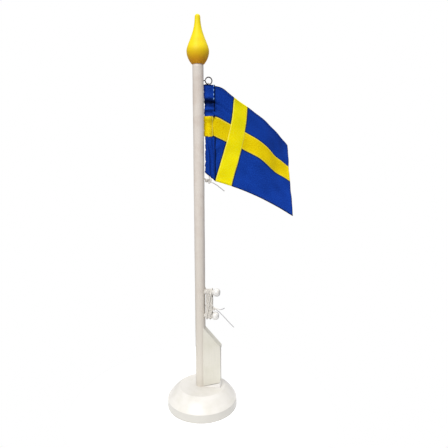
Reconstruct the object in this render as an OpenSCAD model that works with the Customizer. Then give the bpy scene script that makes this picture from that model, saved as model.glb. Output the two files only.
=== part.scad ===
// Desk flag stand: a turned base, a dowel pole with a flame finial, a support board,
// two cleat pegs, a hoisting cord and a small cross flag sewn from strips of cloth.
// Units are millimetres. The origin is the centre of the base's underside, +Z is up
// and +X runs along the support board and the cleat pegs.

/* [Base] */
// Radius of the turned base
base_r = 34.6; // [32:0.2:40]
// Height of the base up to its flat top
base_h = 21; // [18:0.5:26]
// Height of the upright rim
rim_h = 8.6; // [7:0.1:10]
// Radius of the flat top
top_r = 23; // [22:0.5:26]

/* [Pole] */
// Radius of the pole
pole_r = 5; // [4.5:0.1:5.2]
// Height of the shoulder that the finial sits on, above the desk
pole_top = 329; // [326:0.5:335]
// How far the pole stands off the base's centre, towards -X
pole_shift = 1.2; // [0:0.1:3]
// Depth of the socket in the base
socket_depth = 12; // [8:0.5:15]

/* [Finial] */
// Height of the finial above its joint
finial_h = 42; // [38:0.5:46]
// Largest radius of the finial
finial_r = 9.85; // [8:0.05:12]

/* [Support board] */
// Reach of the board from the pole's axis
board_reach = 20.5; // [16:0.5:21]
// Thickness of the board
board_t = 7; // [5:0.1:8]
// Height of the board's outer top corner
board_outer_z = 64.5; // [55:0.5:75]
// Height of the board's top where it meets the pole
board_inner_z = 83.5; // [76:0.5:95]
// Thick end of the wedge under the board
wedge_h = 6; // [3:0.5:9]

/* [Cleat] */
// Height of the upper peg
upper_peg_z = 118.5; // [116:0.5:120]
// Height of the lower peg
lower_peg_z = 94.8; // [92:0.2:98]
// Radius of the pegs' shanks
shank_r = 2.3; // [1.8:0.1:2.6]
// Radius of the pegs' heads
head_r = 4; // [3.2:0.1:4.5]
// Length of the pegs' heads
head_l = 6; // [5:0.1:7.4]

/* [Hoisting cord] */
// Diameter of the cord
cord_d = 1; // [0.8:0.05:1.1]
// Mean radius of the screw eye's ring
eye_r = 3.1; // [2.8:0.1:3.2]
// Radius of the screw eye's wire
eye_wire_r = 0.5; // [0.4:0.05:0.6]

/* [Flag] */
// Thickness of the cloth panels
cloth_t = 0.8; // [0.6:0.1:1]
// Height of the yellow arm's lower edge, as a share of the hoist
arm_low = 0.47; // [0.4:0.01:0.5]
// Height of the yellow arm's upper edge, as a share of the hoist
arm_high = 0.68; // [0.6:0.01:0.72]

/* [Hidden] */
$fn = 96;

cord_r = cord_d / 2;
white = [0.93, 0.92, 0.87];
cord_white = [0.95, 0.94, 0.9];
yellow = [0.97, 0.86, 0.1];
blue = [0.08, 0.2, 0.6];
steel = [0.3, 0.3, 0.32];

// The hoist: the vertical line that the flag's sleeve hangs on, beside the pole
hoist_reach = 9.8;
hoist_turn = 30;
hoist_xy = [hoist_reach * cos(hoist_turn) - pole_shift, hoist_reach * sin(hoist_turn)];
eye_z = 315.3;
sleeve_top = 311;
sleeve_turn = 22;
sleeve_in = 3.9;
sleeve_out = 5;
line_bottom = 227;
line_top = 310.2;
knot_z = 225.4;
cleat_top_z = 124;

// ---- helpers ---------------------------------------------------------------

function unit(v) = v / norm(v);
function mix(a, b, t) = a + (b - a) * t;
function bezier2(p, t) = mix(mix(p[0], p[1], t), mix(p[1], p[2], t), t);
function bezier3(p, t) = mix(bezier2([p[0], p[1], p[2]], t), bezier2([p[1], p[2], p[3]], t), t);
function arc(cx, cy, rx, ry, from, to, steps) =
    [for (i = [0 : steps]) let (a = from + (to - from) * i / steps) [cx + rx * cos(a), cy + ry * sin(a)]];

module at_pole() translate([-pole_shift, 0, 0]) children();
module at_hoist() translate([hoist_xy[0], hoist_xy[1], 0]) children();

// A cord of eight sides swept along route points
sides = 8;
sweep_ref = unit([0.4, 1, 0.15]);
function along(p, i) = unit(p[min(i + 1, len(p) - 1)] - p[max(i - 1, 0)]);
function cord_ring(p, i, r) =
    let (t = along(p, i), a = unit(cross(t, sweep_ref)), b = cross(a, t))
    [for (k = [0 : sides - 1]) p[i] + r * (cos(360 * k / sides) * a + sin(360 * k / sides) * b)];
module cord(p, r = cord_r) {
    last = len(p) - 1;
    polyhedron(
        points = [for (i = [0 : last]) each cord_ring(p, i, r)],
        faces = [
            [for (k = [sides - 1 : -1 : 0]) k],
            [for (k = [0 : sides - 1]) last * sides + k],
            for (i = [0 : last - 1], k = [0 : sides - 1])
                let (n = (k + 1) % sides)
                [i * sides + k, i * sides + n, (i + 1) * sides + n, (i + 1) * sides + k]
        ]);
}

// ---- base, pole, finial ----------------------------------------------------

module base() {
    corner = 1.2;
    shoulder = [[base_r, rim_h], [base_r - 5.3, rim_h + 8.4], [top_r, base_h - 0.2]];
    outline = concat(
        [[0, 0]],
        arc(base_r - corner, corner, corner, corner, -90, 0, 4),
        [for (i = [0 : 12]) bezier2(shoulder, i / 12)],
        [[top_r - 0.6, base_h], [0, base_h]]);
    color(white) difference() {
        rotate_extrude() polygon(outline);
        at_pole() translate([0, 0, base_h - socket_depth]) cylinder(r = pole_r, h = socket_depth + 1);
    }
}

tenon_r = 3;
tenon_h = 9;
module pole() {
    foot_z = base_h - socket_depth;
    color(white) at_pole() difference() {
        union() {
            translate([0, 0, foot_z]) cylinder(r = pole_r, h = pole_top - foot_z);
            translate([0, 0, pole_top]) cylinder(r = tenon_r, h = tenon_h);
        }
        for (z = [upper_peg_z, lower_peg_z])
            translate([-1, 0, z]) rotate([0, 90, 0]) cylinder(r = shank_r, h = pole_r + 2, $fn = 48);
        translate([0, 0, eye_z]) rotate([0, 90, hoist_turn])
            cylinder(r = eye_wire_r, h = pole_r + 1, $fn = 24);
    }
}

module finial() {
    belly_z = 11;
    tip_r = 2.2;
    lower = [[pole_r + 0.2, 0], [7.5, 3.2], [finial_r, 6.5], [finial_r, belly_z]];
    upper = [[finial_r, belly_z], [finial_r, 17], [tip_r, 27], [tip_r, finial_h - 2.2]];
    outline = concat(
        [[0, 0]],
        [for (i = [0 : 8]) bezier3(lower, i / 8)],
        [for (i = [1 : 14]) bezier3(upper, i / 14)],
        [for (a = [30 : 30 : 60]) [tip_r * cos(a), finial_h - 2.2 + 2.2 * sin(a)]],
        [[0, finial_h]]);
    color(yellow) at_pole() translate([0, 0, pole_top]) difference() {
        rotate_extrude() polygon(outline);
        translate([0, 0, -1]) cylinder(r = tenon_r, h = tenon_h + 1, $fn = 48);
    }
}

// ---- support board and its wedge -------------------------------------------

board_in = 3;
module upright_plate(outline) {
    at_pole() difference() {
        translate([0, board_t / 2, 0]) rotate([90, 0, 0]) linear_extrude(board_t) polygon(outline);
        translate([0, 0, base_h - 1]) cylinder(r = pole_r, h = board_inner_z);
    }
}

module support_board() {
    color(white) upright_plate([
        [board_in, base_h],
        [board_reach, base_h + wedge_h],
        [board_reach, board_outer_z],
        [board_in, board_inner_z]]);
}

module support_wedge() {
    color(white) upright_plate([
        [board_in, base_h],
        [board_reach, base_h],
        [board_reach, base_h + wedge_h]]);
}

// ---- cleat pegs and screw eye ----------------------------------------------

// A turned peg along +X from the pole's axis: a shank with a rounded head
module peg(head_start) {
    back_r = 1.6;
    front_r = 2.6;
    outline = concat(
        [[0, -1], [shank_r, -1], [shank_r, head_start]],
        arc(head_r - back_r, head_start + back_r, back_r, back_r, -90, 0, 4),
        arc(head_r - front_r, head_start + head_l - front_r, front_r, front_r, 0, 90, 6),
        [[0, head_start + head_l]]);
    at_pole() rotate([0, 90, 0]) rotate_extrude($fn = 64) polygon(outline);
}

upper_head_x = 13.8;
lower_head_x = 12.6;
module upper_peg() { color(white) translate([0, 0, upper_peg_z]) peg(upper_head_x); }
module lower_peg() { color(white) translate([0, 0, lower_peg_z]) peg(lower_head_x); }

// Screw eye: a wire ring on a shank that is screwed into the pole
eye_bury = 4;
module top_eye() {
    shank_l = hoist_reach - eye_r - pole_r + eye_bury;
    color(steel) at_pole() translate([0, 0, eye_z]) rotate([0, 0, hoist_turn]) union() {
        translate([hoist_reach, 0, 0]) rotate([90, 0, 0])
            rotate_extrude($fn = 48) translate([eye_r, 0]) circle(r = eye_wire_r, $fn = 24);
        translate([pole_r - eye_bury, 0, 0]) rotate([0, 90, 0])
            cylinder(r = eye_wire_r, h = shank_l, $fn = 24);
    }
}

// ---- hoisting cord ---------------------------------------------------------

// Over the bottom of the ring, down behind the pole and round to the cleat
halyard_route = [
    [7.81, 3.99, 312.3], [7.8, 4.02, 312.6], [7.7, 4.2, 313.0], [7.3, 4.9, 313.3],
    [6.8, 5.8, 313.1], [5.5, 6.4, 312.7], [4.0, 6.35, 312.3], [2.3, 6.1, 311.5],
    [0.4, 5.95, 309], [-1.5, 5.7, 305], [-2.9, 5.4, 300], [-2.9, 5.4, 260],
    [-2.9, 5.4, 200], [-2.9, 5.4, 132], [-2.5, 6.4, 128], [-1.0, 7.1, 124.3],
    [0.6, 6.9, 122.4], [2.2, 6.1, 120.8], [3.6, 4.9, 119.4], [4.4, 4.15, 118.7]];
module halyard_run() { color(cord_white) cord(halyard_route); }

// From the cleat up to where the second run starts to rise behind the pole
lead_route = [
    [-1.0, 5.9, 124], [-1.0, 5.9, 116], [-0.4, 5.9, 108], [1.5, 5.6, 103],
    [3.6, 4.9, 100.5], [4.4, 4.15, 100]];
module cleat_lead() { color(cord_white) cord(lead_route); }

// The straight run behind the pole up to the flag's lower corner
module downhaul_run() {
    color(cord_white) cord([[-1.0, 5.9, cleat_top_z], [-1.0, 5.9, 150], [-1.0, 5.9, 190], [-1.0, 5.9, 225]]);
}

// The bundle of turns round both pegs, as one solid of its outer shape
hank_from = 5.4;
hank_to = 12.3;
module cleat_hank() {
    bundle_r = shank_r + 1.3;
    color(cord_white) at_pole() difference() {
        translate([hank_from, 0, 0]) rotate([90, 0, 90]) linear_extrude(hank_to - hank_from) union() {
            for (z = [upper_peg_z, lower_peg_z]) translate([0, z]) circle(r = bundle_r, $fn = 48);
            translate([-bundle_r, lower_peg_z]) square([2 * bundle_r, upper_peg_z - lower_peg_z]);
        }
        for (z = [upper_peg_z, lower_peg_z])
            translate([0, 0, z]) rotate([0, 90, 0]) cylinder(r = shank_r, h = 20, $fn = 48);
    }
}

// The hitch that locks the turns, and the two free ends that leave it
hitch = [13.6, -3.6, 103.2];
module halyard_knot() { color(cord_white) translate(hitch) sphere(r = 1.7, $fn = 32); }
long_tail_route = [
    [15.26, -3.84, 102.73], [17.5, -4.0, 101.4], [20.0, -4.4, 99.6], [24.5, -5.5, 95.8],
    [29.5, -7.2, 91.6], [34.0, -9.2, 88.6]];
module halyard_long_tail() { color(cord_white) cord(long_tail_route); }
short_tail_route = [[15.45, -3.85, 103.85], [18.2, -3.8, 103.0], [21.2, -3.7, 103.4], [23.8, -3.5, 104.8]];
module halyard_short_tail() { color(cord_white) cord(short_tail_route); }

// From the ring down to the flag's sleeve
module hoist_strand() {
    color(cord_white) cord([
        [hoist_xy[0], hoist_xy[1], line_top], [7.3, 4.88, 310.85], [7.54, 4.46, 311.24],
        [7.75, 4.1, 311.58], [7.81, 3.99, 311.9], [7.81, 3.99, 312.2]]);
}

// The cord inside the sleeve
module hoist_line() {
    color(cord_white) at_hoist() translate([0, 0, line_bottom])
        cylinder(r = cord_r, h = line_top - line_bottom, $fn = 24);
}

// Knot at the flag's lower corner, with the cord that goes round behind the pole
tie_route = [
    [7.3, 4.9, 225.6], [5.8, 4.0, 226.5], [4.2, 3.0, 227.2], [3.0, 4.5, 227.2],
    [1.0, 5.8, 226.9], [-0.6, 6.1, 226.5], [-1.0, 5.9, 225.8], [-1.0, 5.9, 225]];
module lower_tie() {
    color(cord_white) union() {
        translate([7.3, 4.9, knot_z]) sphere(r = 1.5, $fn = 32);
        cord(tie_route);
    }
}

tail_route = [
    [8.51, 4.57, 224.52], [11.0, 5.0, 223.4], [14.0, 5.2, 221.8], [17.5, 5.0, 219.3],
    [22.0, 4.6, 216.0]];
module lower_tail() { color(cord_white) cord(tail_route); }

// ---- flag ------------------------------------------------------------------

// A stretch of the sleeve: a flattened tube of cloth round the cord
bore_r = 1;
module sleeve(low, high, slope = 0) {
    at_hoist() rotate([0, 0, sleeve_turn]) difference() {
        translate([0, 0, low]) linear_extrude(high - low) difference() {
            polygon([
                [-sleeve_in, -0.6], [-1, -1.5], [1, -1.5], [sleeve_out, -cloth_t / 2],
                [sleeve_out, cloth_t / 2], [1, 1.5], [-1, 1.5], [-sleeve_in, 0.6]]);
            circle(r = bore_r, $fn = 32);
        }
        if (slope > 0)
            translate([sleeve_out, -5, low]) rotate([0, slope, 0]) translate([-20, 0, -10]) cube([30, 10, 10]);
    }
}

module sleeve_upper() { color(blue) sleeve(284, sleeve_top); }
module sleeve_band() { color(yellow) sleeve(266.5, 284); }
module sleeve_lower() { color(blue) sleeve(225, 266.5, 33); }

// The cloth hangs between two curves, its top and bottom edges, each from the sleeve
// to the fly. The fly end droops and swings away, and the lower edge is gathered
// next to the sleeve.
top_edge = [[12, 6.8, 311], [53, 37, 288.5], [73.5, 85, 258]];
bottom_edge = [[12, 6.8, 225], [47, 20, 215], [83.5, 46.5, 188]];
upright_from = 0.2;
upright_to = 0.354;
gather = [[0, 0], [upright_from, 0.04], [upright_to, 0.23], [1, 1]];

function cloth(a, v) = mix(bezier2(bottom_edge, lookup(a, gather)), bezier2(top_edge, a), v);
function cloth_normal(a, v) =
    let (a0 = max(a - 0.02, 0), a1 = min(a + 0.02, 1))
    unit(cross(cloth(a1, v) - cloth(a0, v), cloth(a, 1) - cloth(a, 0)));

// A panel of the cloth, from one share of the fly and hoist to another
module panel(a0, a1, v0, v1, across, up) {
    count = (across + 1) * (up + 1);
    function id(i, j, side) = side * count + i * (up + 1) + j;
    function wall(p, q) = [[p, q, q + count], [p, q + count, p + count]];
    points = [for (side = [1, -1], i = [0 : across], j = [0 : up])
        let (a = mix(a0, a1, i / across), v = mix(v0, v1, j / up))
        cloth(a, v) + side * cloth_t / 2 * cloth_normal(a, v)];
    front = [for (i = [0 : across - 1], j = [0 : up - 1])
        each [[id(i, j, 0), id(i + 1, j + 1, 0), id(i + 1, j, 0)],
              [id(i, j, 0), id(i, j + 1, 0), id(i + 1, j + 1, 0)]]];
    back = [for (f = front) [f[2] + count, f[1] + count, f[0] + count]];
    edges = concat(
        [for (i = [0 : across - 1]) each wall(id(i, 0, 0), id(i + 1, 0, 0))],
        [for (i = [0 : across - 1]) each wall(id(i + 1, up, 0), id(i, up, 0))],
        [for (j = [0 : up - 1]) each wall(id(across, j, 0), id(across, j + 1, 0))],
        [for (j = [0 : up - 1]) each wall(id(0, j + 1, 0), id(0, j, 0))]);
    polyhedron(points = points, faces = concat(front, back, edges));
}

module upper_hoist_panel() { color(blue) panel(0, upright_from, arm_high, 1, 4, 2); }
module cross_hoist_arm() { color(yellow) panel(0, upright_from, arm_low, arm_high, 4, 2); }
module lower_hoist_panel() { color(blue) panel(0, upright_from, 0, arm_low, 4, 3); }
module cross_upright() { color(yellow) panel(upright_from, upright_to, 0, 1, 3, 8); }
module upper_fly_panel() { color(blue) panel(upright_to, 1, arm_high, 1, 10, 2); }
module cross_fly_arm() { color(yellow) panel(upright_to, 1, arm_low, arm_high, 10, 2); }
module lower_fly_panel() { color(blue) panel(upright_to, 1, 0, arm_low, 10, 3); }

base();
pole();
finial();
support_board();
support_wedge();
top_eye();
upper_peg();
lower_peg();
halyard_run();
cleat_hank();
halyard_knot();
halyard_long_tail();
halyard_short_tail();
cleat_lead();
downhaul_run();
hoist_strand();
hoist_line();
lower_tie();
lower_tail();
sleeve_upper();
sleeve_band();
sleeve_lower();
upper_hoist_panel();
cross_hoist_arm();
lower_hoist_panel();
cross_upright();
upper_fly_panel();
cross_fly_arm();
lower_fly_panel();
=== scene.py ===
"""A desk flag stand: painted turned wood, a cotton hoisting cord and a sewn ribbon-cloth flag.

Sizes are written in millimetres and turned to metres when a mesh is made. +Z is up, +X runs along
the support board and the cleat pegs, and the origin is the centre of the base's underside.
"""
import math

import bmesh
import bpy
import numpy as np
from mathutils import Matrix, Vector


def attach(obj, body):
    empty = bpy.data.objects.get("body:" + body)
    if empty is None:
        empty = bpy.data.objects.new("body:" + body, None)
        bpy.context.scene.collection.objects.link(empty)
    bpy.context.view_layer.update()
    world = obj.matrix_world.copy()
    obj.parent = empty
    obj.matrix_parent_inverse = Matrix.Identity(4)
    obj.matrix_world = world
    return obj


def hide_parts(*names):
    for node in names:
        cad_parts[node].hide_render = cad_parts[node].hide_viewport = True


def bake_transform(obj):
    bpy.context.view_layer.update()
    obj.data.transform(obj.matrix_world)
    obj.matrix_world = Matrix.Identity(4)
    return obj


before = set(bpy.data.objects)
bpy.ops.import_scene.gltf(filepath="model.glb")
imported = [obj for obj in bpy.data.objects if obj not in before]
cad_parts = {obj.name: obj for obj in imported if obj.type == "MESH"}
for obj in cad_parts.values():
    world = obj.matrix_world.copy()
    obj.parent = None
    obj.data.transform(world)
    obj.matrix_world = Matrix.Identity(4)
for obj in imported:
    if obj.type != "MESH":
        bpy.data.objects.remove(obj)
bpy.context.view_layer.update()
MM = 0.001
TAU = 2 * math.pi

# ---- sizes of the stand, as in the CAD ----

POLE_X = -1.2
POLE_R = 5.0
POLE_TOP = 329.0
BASE_R = 34.6
BASE_H = 21.0
TOP_R = 23.0
RIM_H = 8.6
HOIST_REACH = 9.8
HOIST_TURN = math.radians(30)
HOIST = np.array([POLE_X + HOIST_REACH * math.cos(HOIST_TURN), HOIST_REACH * math.sin(HOIST_TURN)])
EYE_Z = 315.3
EYE_R = 3.1
UPPER_PEG_Z = 118.5
LOWER_PEG_Z = 94.8
SHANK_R = 2.3
CORD_D = 0.95
SLEEVE_TURN = math.radians(22)
SLEEVE_TOP = 311.0
SLEEVE_BOTTOM = 225.0


# ---- small helpers ----

def smoothstep(low, high, x):
    t = np.clip((x - low) / (high - low), 0, 1)
    return t * t * (3 - 2 * t)


def bump(x, centre, width):
    return np.exp(-((x - centre) / width) ** 2)


def new_object(name, data):
    made = bpy.data.objects.new(name, data)
    bpy.context.scene.collection.objects.link(made)
    return made


def apply_modifiers(piece):
    final = bpy.data.meshes.new_from_object(piece.evaluated_get(bpy.context.evaluated_depsgraph_get()))
    piece.modifiers.clear()
    piece.data = final


def mesh_piece(name, points, faces, uvs=None, **marks):
    """A mesh object from points in millimetres. uvs are one pair for each point, and each of marks
    is a named number for each point."""
    mesh = bpy.data.meshes.new(name)
    mesh.from_pydata([tuple(p) for p in np.asarray(points, float) * MM], [], [tuple(f) for f in faces])
    if uvs is not None:
        layer = mesh.uv_layers.new(name="cloth_mm")
        corner = np.zeros(len(mesh.loops), np.int32)
        mesh.loops.foreach_get("vertex_index", corner)
        layer.data.foreach_set("uv", np.asarray(uvs, np.float32)[corner].ravel())
    for key, values in marks.items():
        mark = mesh.attributes.new(key, "FLOAT", "POINT")
        mark.data.foreach_set("value", np.asarray(values, np.float32))
    mesh.polygons.foreach_set("use_smooth", [True] * len(mesh.polygons))
    mesh.update()
    return new_object(name, mesh)


def face_outwards(piece):
    shape = bmesh.new()
    shape.from_mesh(piece.data)
    bmesh.ops.remove_doubles(shape, verts=shape.verts, dist=1e-6)
    bmesh.ops.recalc_face_normals(shape, faces=shape.faces)
    shape.to_mesh(piece.data)
    shape.free()
    return piece


def dress(piece, finish, body, slot, *stands_for):
    """Gives a piece its material and its body, and hides the CAD nodes it stands for. slot is not used."""
    piece.data.materials.clear()
    piece.data.materials.append(finish)
    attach(piece, body)
    if stands_for:
        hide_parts(*stands_for)
    return piece


def bezier(controls, t):
    """Points on a Bezier curve of any degree, for an array of t."""
    rows = [np.asarray(c, float) * np.ones((len(t), 1)) for c in controls]
    t = np.asarray(t, float)[:, None]
    while len(rows) > 1:
        rows = [a + (b - a) * t for a, b in zip(rows, rows[1:])]
    return rows[0]


def smooth_route(points, step):
    """A Catmull-Rom line through the points, cut into even steps of about that length."""
    p = np.asarray(points, float)
    p = np.vstack([2 * p[0] - p[1], p, 2 * p[-1] - p[-2]])
    dense = []
    for i in range(1, len(p) - 2):
        a, b, c, d = p[i - 1:i + 3]
        count = max(4, int(np.linalg.norm(c - b) / step * 2))
        t = np.arange(count)[:, None] / count
        dense.append(0.5 * (2 * b + (c - a) * t + (2 * a - 5 * b + 4 * c - d) * t ** 2
                            + (3 * b - a - 3 * c + d) * t ** 3))
    dense = np.vstack(dense + [p[-2:-1]])
    run = np.concatenate([[0], np.cumsum(np.linalg.norm(np.diff(dense, axis=0), axis=1))])
    even = np.linspace(0, run[-1], max(2, int(round(run[-1] / step)) + 1))
    return np.column_stack([np.interp(even, run, dense[:, k]) for k in range(3)])


# ---- material helpers ----

def colour(code):
    """An sRGB hex value as the linear colour that a socket takes."""
    parts = [int(code[i:i + 2], 16) / 255 for i in (0, 2, 4)]
    return tuple(c / 12.92 if c <= 0.04045 else ((c + 0.055) / 1.055) ** 2.4 for c in parts) + (1.0,)


def add(tree, kind, inputs=None, stops=(), **settings):
    """Adds a node. inputs gives each socket, by name or number, a value, another node's socket, or
    another node for its first output; stops gives a ramp its places and hex colours."""
    made = tree.nodes.new(kind)
    for key, value in settings.items():
        setattr(made, key, value)
    while stops and len(made.color_ramp.elements) < len(stops):
        made.color_ramp.elements.new(0.5)
    for i, (place, code) in enumerate(stops):
        made.color_ramp.elements[i].position = place
        made.color_ramp.elements[i].color = colour(code)
    for key, value in (inputs or {}).items():
        if isinstance(value, bpy.types.Node):
            value = value.outputs[0]
        if isinstance(value, bpy.types.NodeSocket):
            tree.links.new(value, made.inputs[key])
        else:
            made.inputs[key].default_value = value
    return made


def new_material(name, **sockets):
    """A Principled material; sockets are set by name on the shader itself."""
    made = bpy.data.materials.new(name)
    made.use_nodes = True
    shader = made.node_tree.nodes["Principled BSDF"]
    for key, value in sockets.items():
        shader.inputs[key.replace("_", " ")].default_value = value
    return made, made.node_tree, shader


def around_axis(tree, position, centre_x):
    """Coordinates of a turned piece in millimetres: round the axis, out from it and along it."""
    mm = add(tree, "ShaderNodeVectorMath", {0: position, 1: (1000, 1000, 1000)}, operation="MULTIPLY")
    moved = add(tree, "ShaderNodeVectorMath", {0: mm, 1: (-centre_x, 0, 0)}, operation="ADD")
    part = add(tree, "ShaderNodeSeparateXYZ", {0: moved})
    out = add(tree, "ShaderNodeVectorMath", {0: moved, 1: (1, 1, 0)}, operation="MULTIPLY")
    radius = add(tree, "ShaderNodeVectorMath", {0: out}, operation="LENGTH")
    return moved.outputs[0], radius.outputs["Value"], part.outputs[2]


def wood_paint(name, code, worn, centre_x, rough, coat, round_marks, gap, foot=None):
    """Brushed alkyd paint on turned birch: a hard, slightly uneven film that follows the brush.

    round_marks draws the brush's tracks round the axis, as on a lathe, else along +Z. gap is the
    distance between tracks in millimetres. foot gives painted shade towards the piece's foot, a darker
    colour that stands in for shade there: the height where the shade is complete, the height where it
    starts, and its colour.
    """
    made, tree, shader = new_material(name, Roughness=rough, Coat_Weight=coat, Coat_Roughness=0.22,
                                      Specular_IOR_Level=0.3)
    position = add(tree, "ShaderNodeTexCoord").outputs["Object"]
    moved, radius, height = around_axis(tree, position, centre_x)
    if round_marks:
        climb = add(tree, "ShaderNodeMath", {0: radius, 1: height}, operation="ADD")
        tracks = add(tree, "ShaderNodeCombineXYZ", {0: climb, 1: 0.0, 2: 0.0}).outputs[0]
    else:
        tracks = add(tree, "ShaderNodeVectorMath", {0: moved, 1: (1, 1, 0.03)},
                     operation="MULTIPLY").outputs[0]
    brush = add(tree, "ShaderNodeTexNoise", {"Vector": tracks, "Scale": 1 / gap, "Detail": 3.0})
    sag = add(tree, "ShaderNodeTexNoise", {"Vector": moved, "Scale": 0.11, "Detail": 2.0})
    speck = add(tree, "ShaderNodeTexNoise", {"Vector": moved, "Scale": 1.7, "Detail": 4.0})
    tint = add(tree, "ShaderNodeValToRGB", {0: sag}, stops=[(0.3, worn), (0.55, code), (1.0, code)])
    streak = add(tree, "ShaderNodeValToRGB", {0: brush}, stops=[(0.25, "eeeeee"), (0.6, "ffffff")])
    mixed = add(tree, "ShaderNodeMix", {0: 0.35, 6: tint, 7: streak}, data_type="RGBA",
                blend_type="MULTIPLY")
    coloured = mixed.outputs[2]
    # Painted shade: towards the foot the paint turns to a darker shade colour.
    if foot:
        full, start, shade_code = foot
        shade_share = add(tree, "ShaderNodeMapRange", {0: height, 1: full, 2: start, 3: 1.0, 4: 0.0})
        coloured = add(tree, "ShaderNodeMix", {0: shade_share, 6: coloured, 7: colour(shade_code)},
                       data_type="RGBA").outputs[2]
    tree.links.new(coloured, shader.inputs["Base Color"])
    film = add(tree, "ShaderNodeMath", {0: speck, 1: 0.3, 2: brush},
               operation="MULTIPLY_ADD")
    lumps = add(tree, "ShaderNodeMath", {0: sag, 1: 2.0, 2: film},
                operation="MULTIPLY_ADD")
    relief = add(tree, "ShaderNodeBump", {"Height": lumps, "Strength": 0.35, "Distance": 0.00012})
    tree.links.new(relief.outputs[0], shader.inputs["Normal"])
    return made


THREAD_PITCH = 0.9


def ribbon_weave(name, code, dark, light, speckle, edge_stops):
    """Plain-woven ribbon: a dull cloth whose threads show as a fine check. speckle is how strongly
    single threads differ. edge_stops tint it from its border inwards, over two millimetres; their dark
    first colour is painted shade in the seams. That first colour is also painted into the sleeve's sharp
    fold, as painted shade.

    The threads are about three times as coarse as real ones, so that they show.
    """
    made, tree, shader = new_material(name, Roughness=0.9, Specular_IOR_Level=0.05)
    threads = add(tree, "ShaderNodeUVMap", uv_map="cloth_mm").outputs[0]
    part = add(tree, "ShaderNodeSeparateXYZ", {0: threads})
    waves = []
    for k in (0, 1):
        turn = add(tree, "ShaderNodeMath", {0: part.outputs[k], 1: math.pi / THREAD_PITCH},
                   operation="MULTIPLY")
        waves.append(add(tree, "ShaderNodeMath", {0: turn}, operation="SINE").outputs[0])
    check = add(tree, "ShaderNodeMath", {0: waves[0], 1: waves[1]}, operation="MULTIPLY")
    lift = add(tree, "ShaderNodeMath", {0: check, 1: 0.5, 2: 0.5}, operation="MULTIPLY_ADD")
    slub = add(tree, "ShaderNodeTexNoise", {"Vector": threads, "Scale": 0.95, "Detail": 3.0,
                                            "Roughness": 0.7})
    fade = add(tree, "ShaderNodeTexNoise", {"Vector": threads, "Scale": 0.07, "Detail": 2.0})
    body = add(tree, "ShaderNodeValToRGB", {0: slub},
               stops=[(0.34, dark), (0.52, code), (0.68, light)])
    worn = add(tree, "ShaderNodeValToRGB", {0: fade}, stops=[(0.3, dark), (0.6, code)])
    cloth = add(tree, "ShaderNodeMix", {0: 1 - speckle, 6: body, 7: worn},
                data_type="RGBA")
    shade = add(tree, "ShaderNodeValToRGB", {0: lift}, stops=[(0.0, "dcdcdc"), (1.0, "ffffff")])
    woven = add(tree, "ShaderNodeMix", {0: 0.5, 6: cloth.outputs[2], 7: shade},
                data_type="RGBA", blend_type="MULTIPLY")
    # Painted shade: the border is tinted from the edge stops, whose dark first colour stands for the seam's
    # shade.
    border = add(tree, "ShaderNodeAttribute", attribute_name="edge_mm")
    inwards = add(tree, "ShaderNodeMath", {0: border.outputs["Fac"], 1: 0.5}, operation="MULTIPLY")
    tint = add(tree, "ShaderNodeValToRGB", {0: inwards}, stops=[(p, c) for p, c, _ in edge_stops])
    share = add(tree, "ShaderNodeValToRGB", {0: inwards}, stops=[(p, m) for p, _, m in edge_stops])
    edged = add(tree, "ShaderNodeMix", {0: share, 6: woven.outputs[2], 7: tint},
                data_type="RGBA")
    # Painted shade: deep in the sleeve's sharp fold the cloth is painted towards the edge stops' darkest
    # colour.
    fold = add(tree, "ShaderNodeAttribute", attribute_name="crease")
    deep = add(tree, "ShaderNodeMath", {0: fold.outputs["Fac"], 1: 0.92}, operation="MULTIPLY")
    creased = add(tree, "ShaderNodeMix", {0: deep, 6: edged.outputs[2], 7: colour(edge_stops[0][1])},
                  data_type="RGBA")
    tree.links.new(creased.outputs[2], shader.inputs["Base Color"])
    nap = add(tree, "ShaderNodeMath", {0: slub, 1: 0.8, 2: lift}, operation="MULTIPLY_ADD")
    relief = add(tree, "ShaderNodeBump", {"Height": nap, "Strength": 0.5, "Distance": 0.00012})
    tree.links.new(relief.outputs[0], shader.inputs["Normal"])
    return made


YARN_SCALE = 2600.0


def cotton_yarn(name, code, dark, end_shade=None):
    """Twisted cotton: matt and a little fuzzy, with darker noise patches that are painted shade for the
    hollows between the plies. The last colour, if given, is painted over the free ends as painted shade."""
    made, tree, shader = new_material(name, Roughness=0.9, Sheen_Weight=0.15, Sheen_Roughness=0.6,
                                      Specular_IOR_Level=0.15)
    position = add(tree, "ShaderNodeTexCoord").outputs["Object"]
    fibre = add(tree, "ShaderNodeTexNoise", {"Vector": position, "Scale": YARN_SCALE, "Detail": 4.0})
    # Painted shade: the darker patches stand in for the shade in the hollows between the plies.
    tone = add(tree, "ShaderNodeValToRGB", {0: fibre}, stops=[(0.3, dark), (0.6, code)]).outputs[0]
    # Painted shade: the free ends take the last colour.
    if end_shade:
        handled = add(tree, "ShaderNodeAttribute", attribute_name="handled")
        tone = add(tree, "ShaderNodeMix", {0: handled.outputs["Fac"], 6: tone, 7: colour(end_shade)},
                   data_type="RGBA").outputs[2]
    tree.links.new(tone, shader.inputs["Base Color"])
    relief = add(tree, "ShaderNodeBump", {"Height": fibre, "Strength": 0.4, "Distance": 0.00006})
    tree.links.new(relief.outputs[0], shader.inputs["Normal"])
    return made


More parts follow.
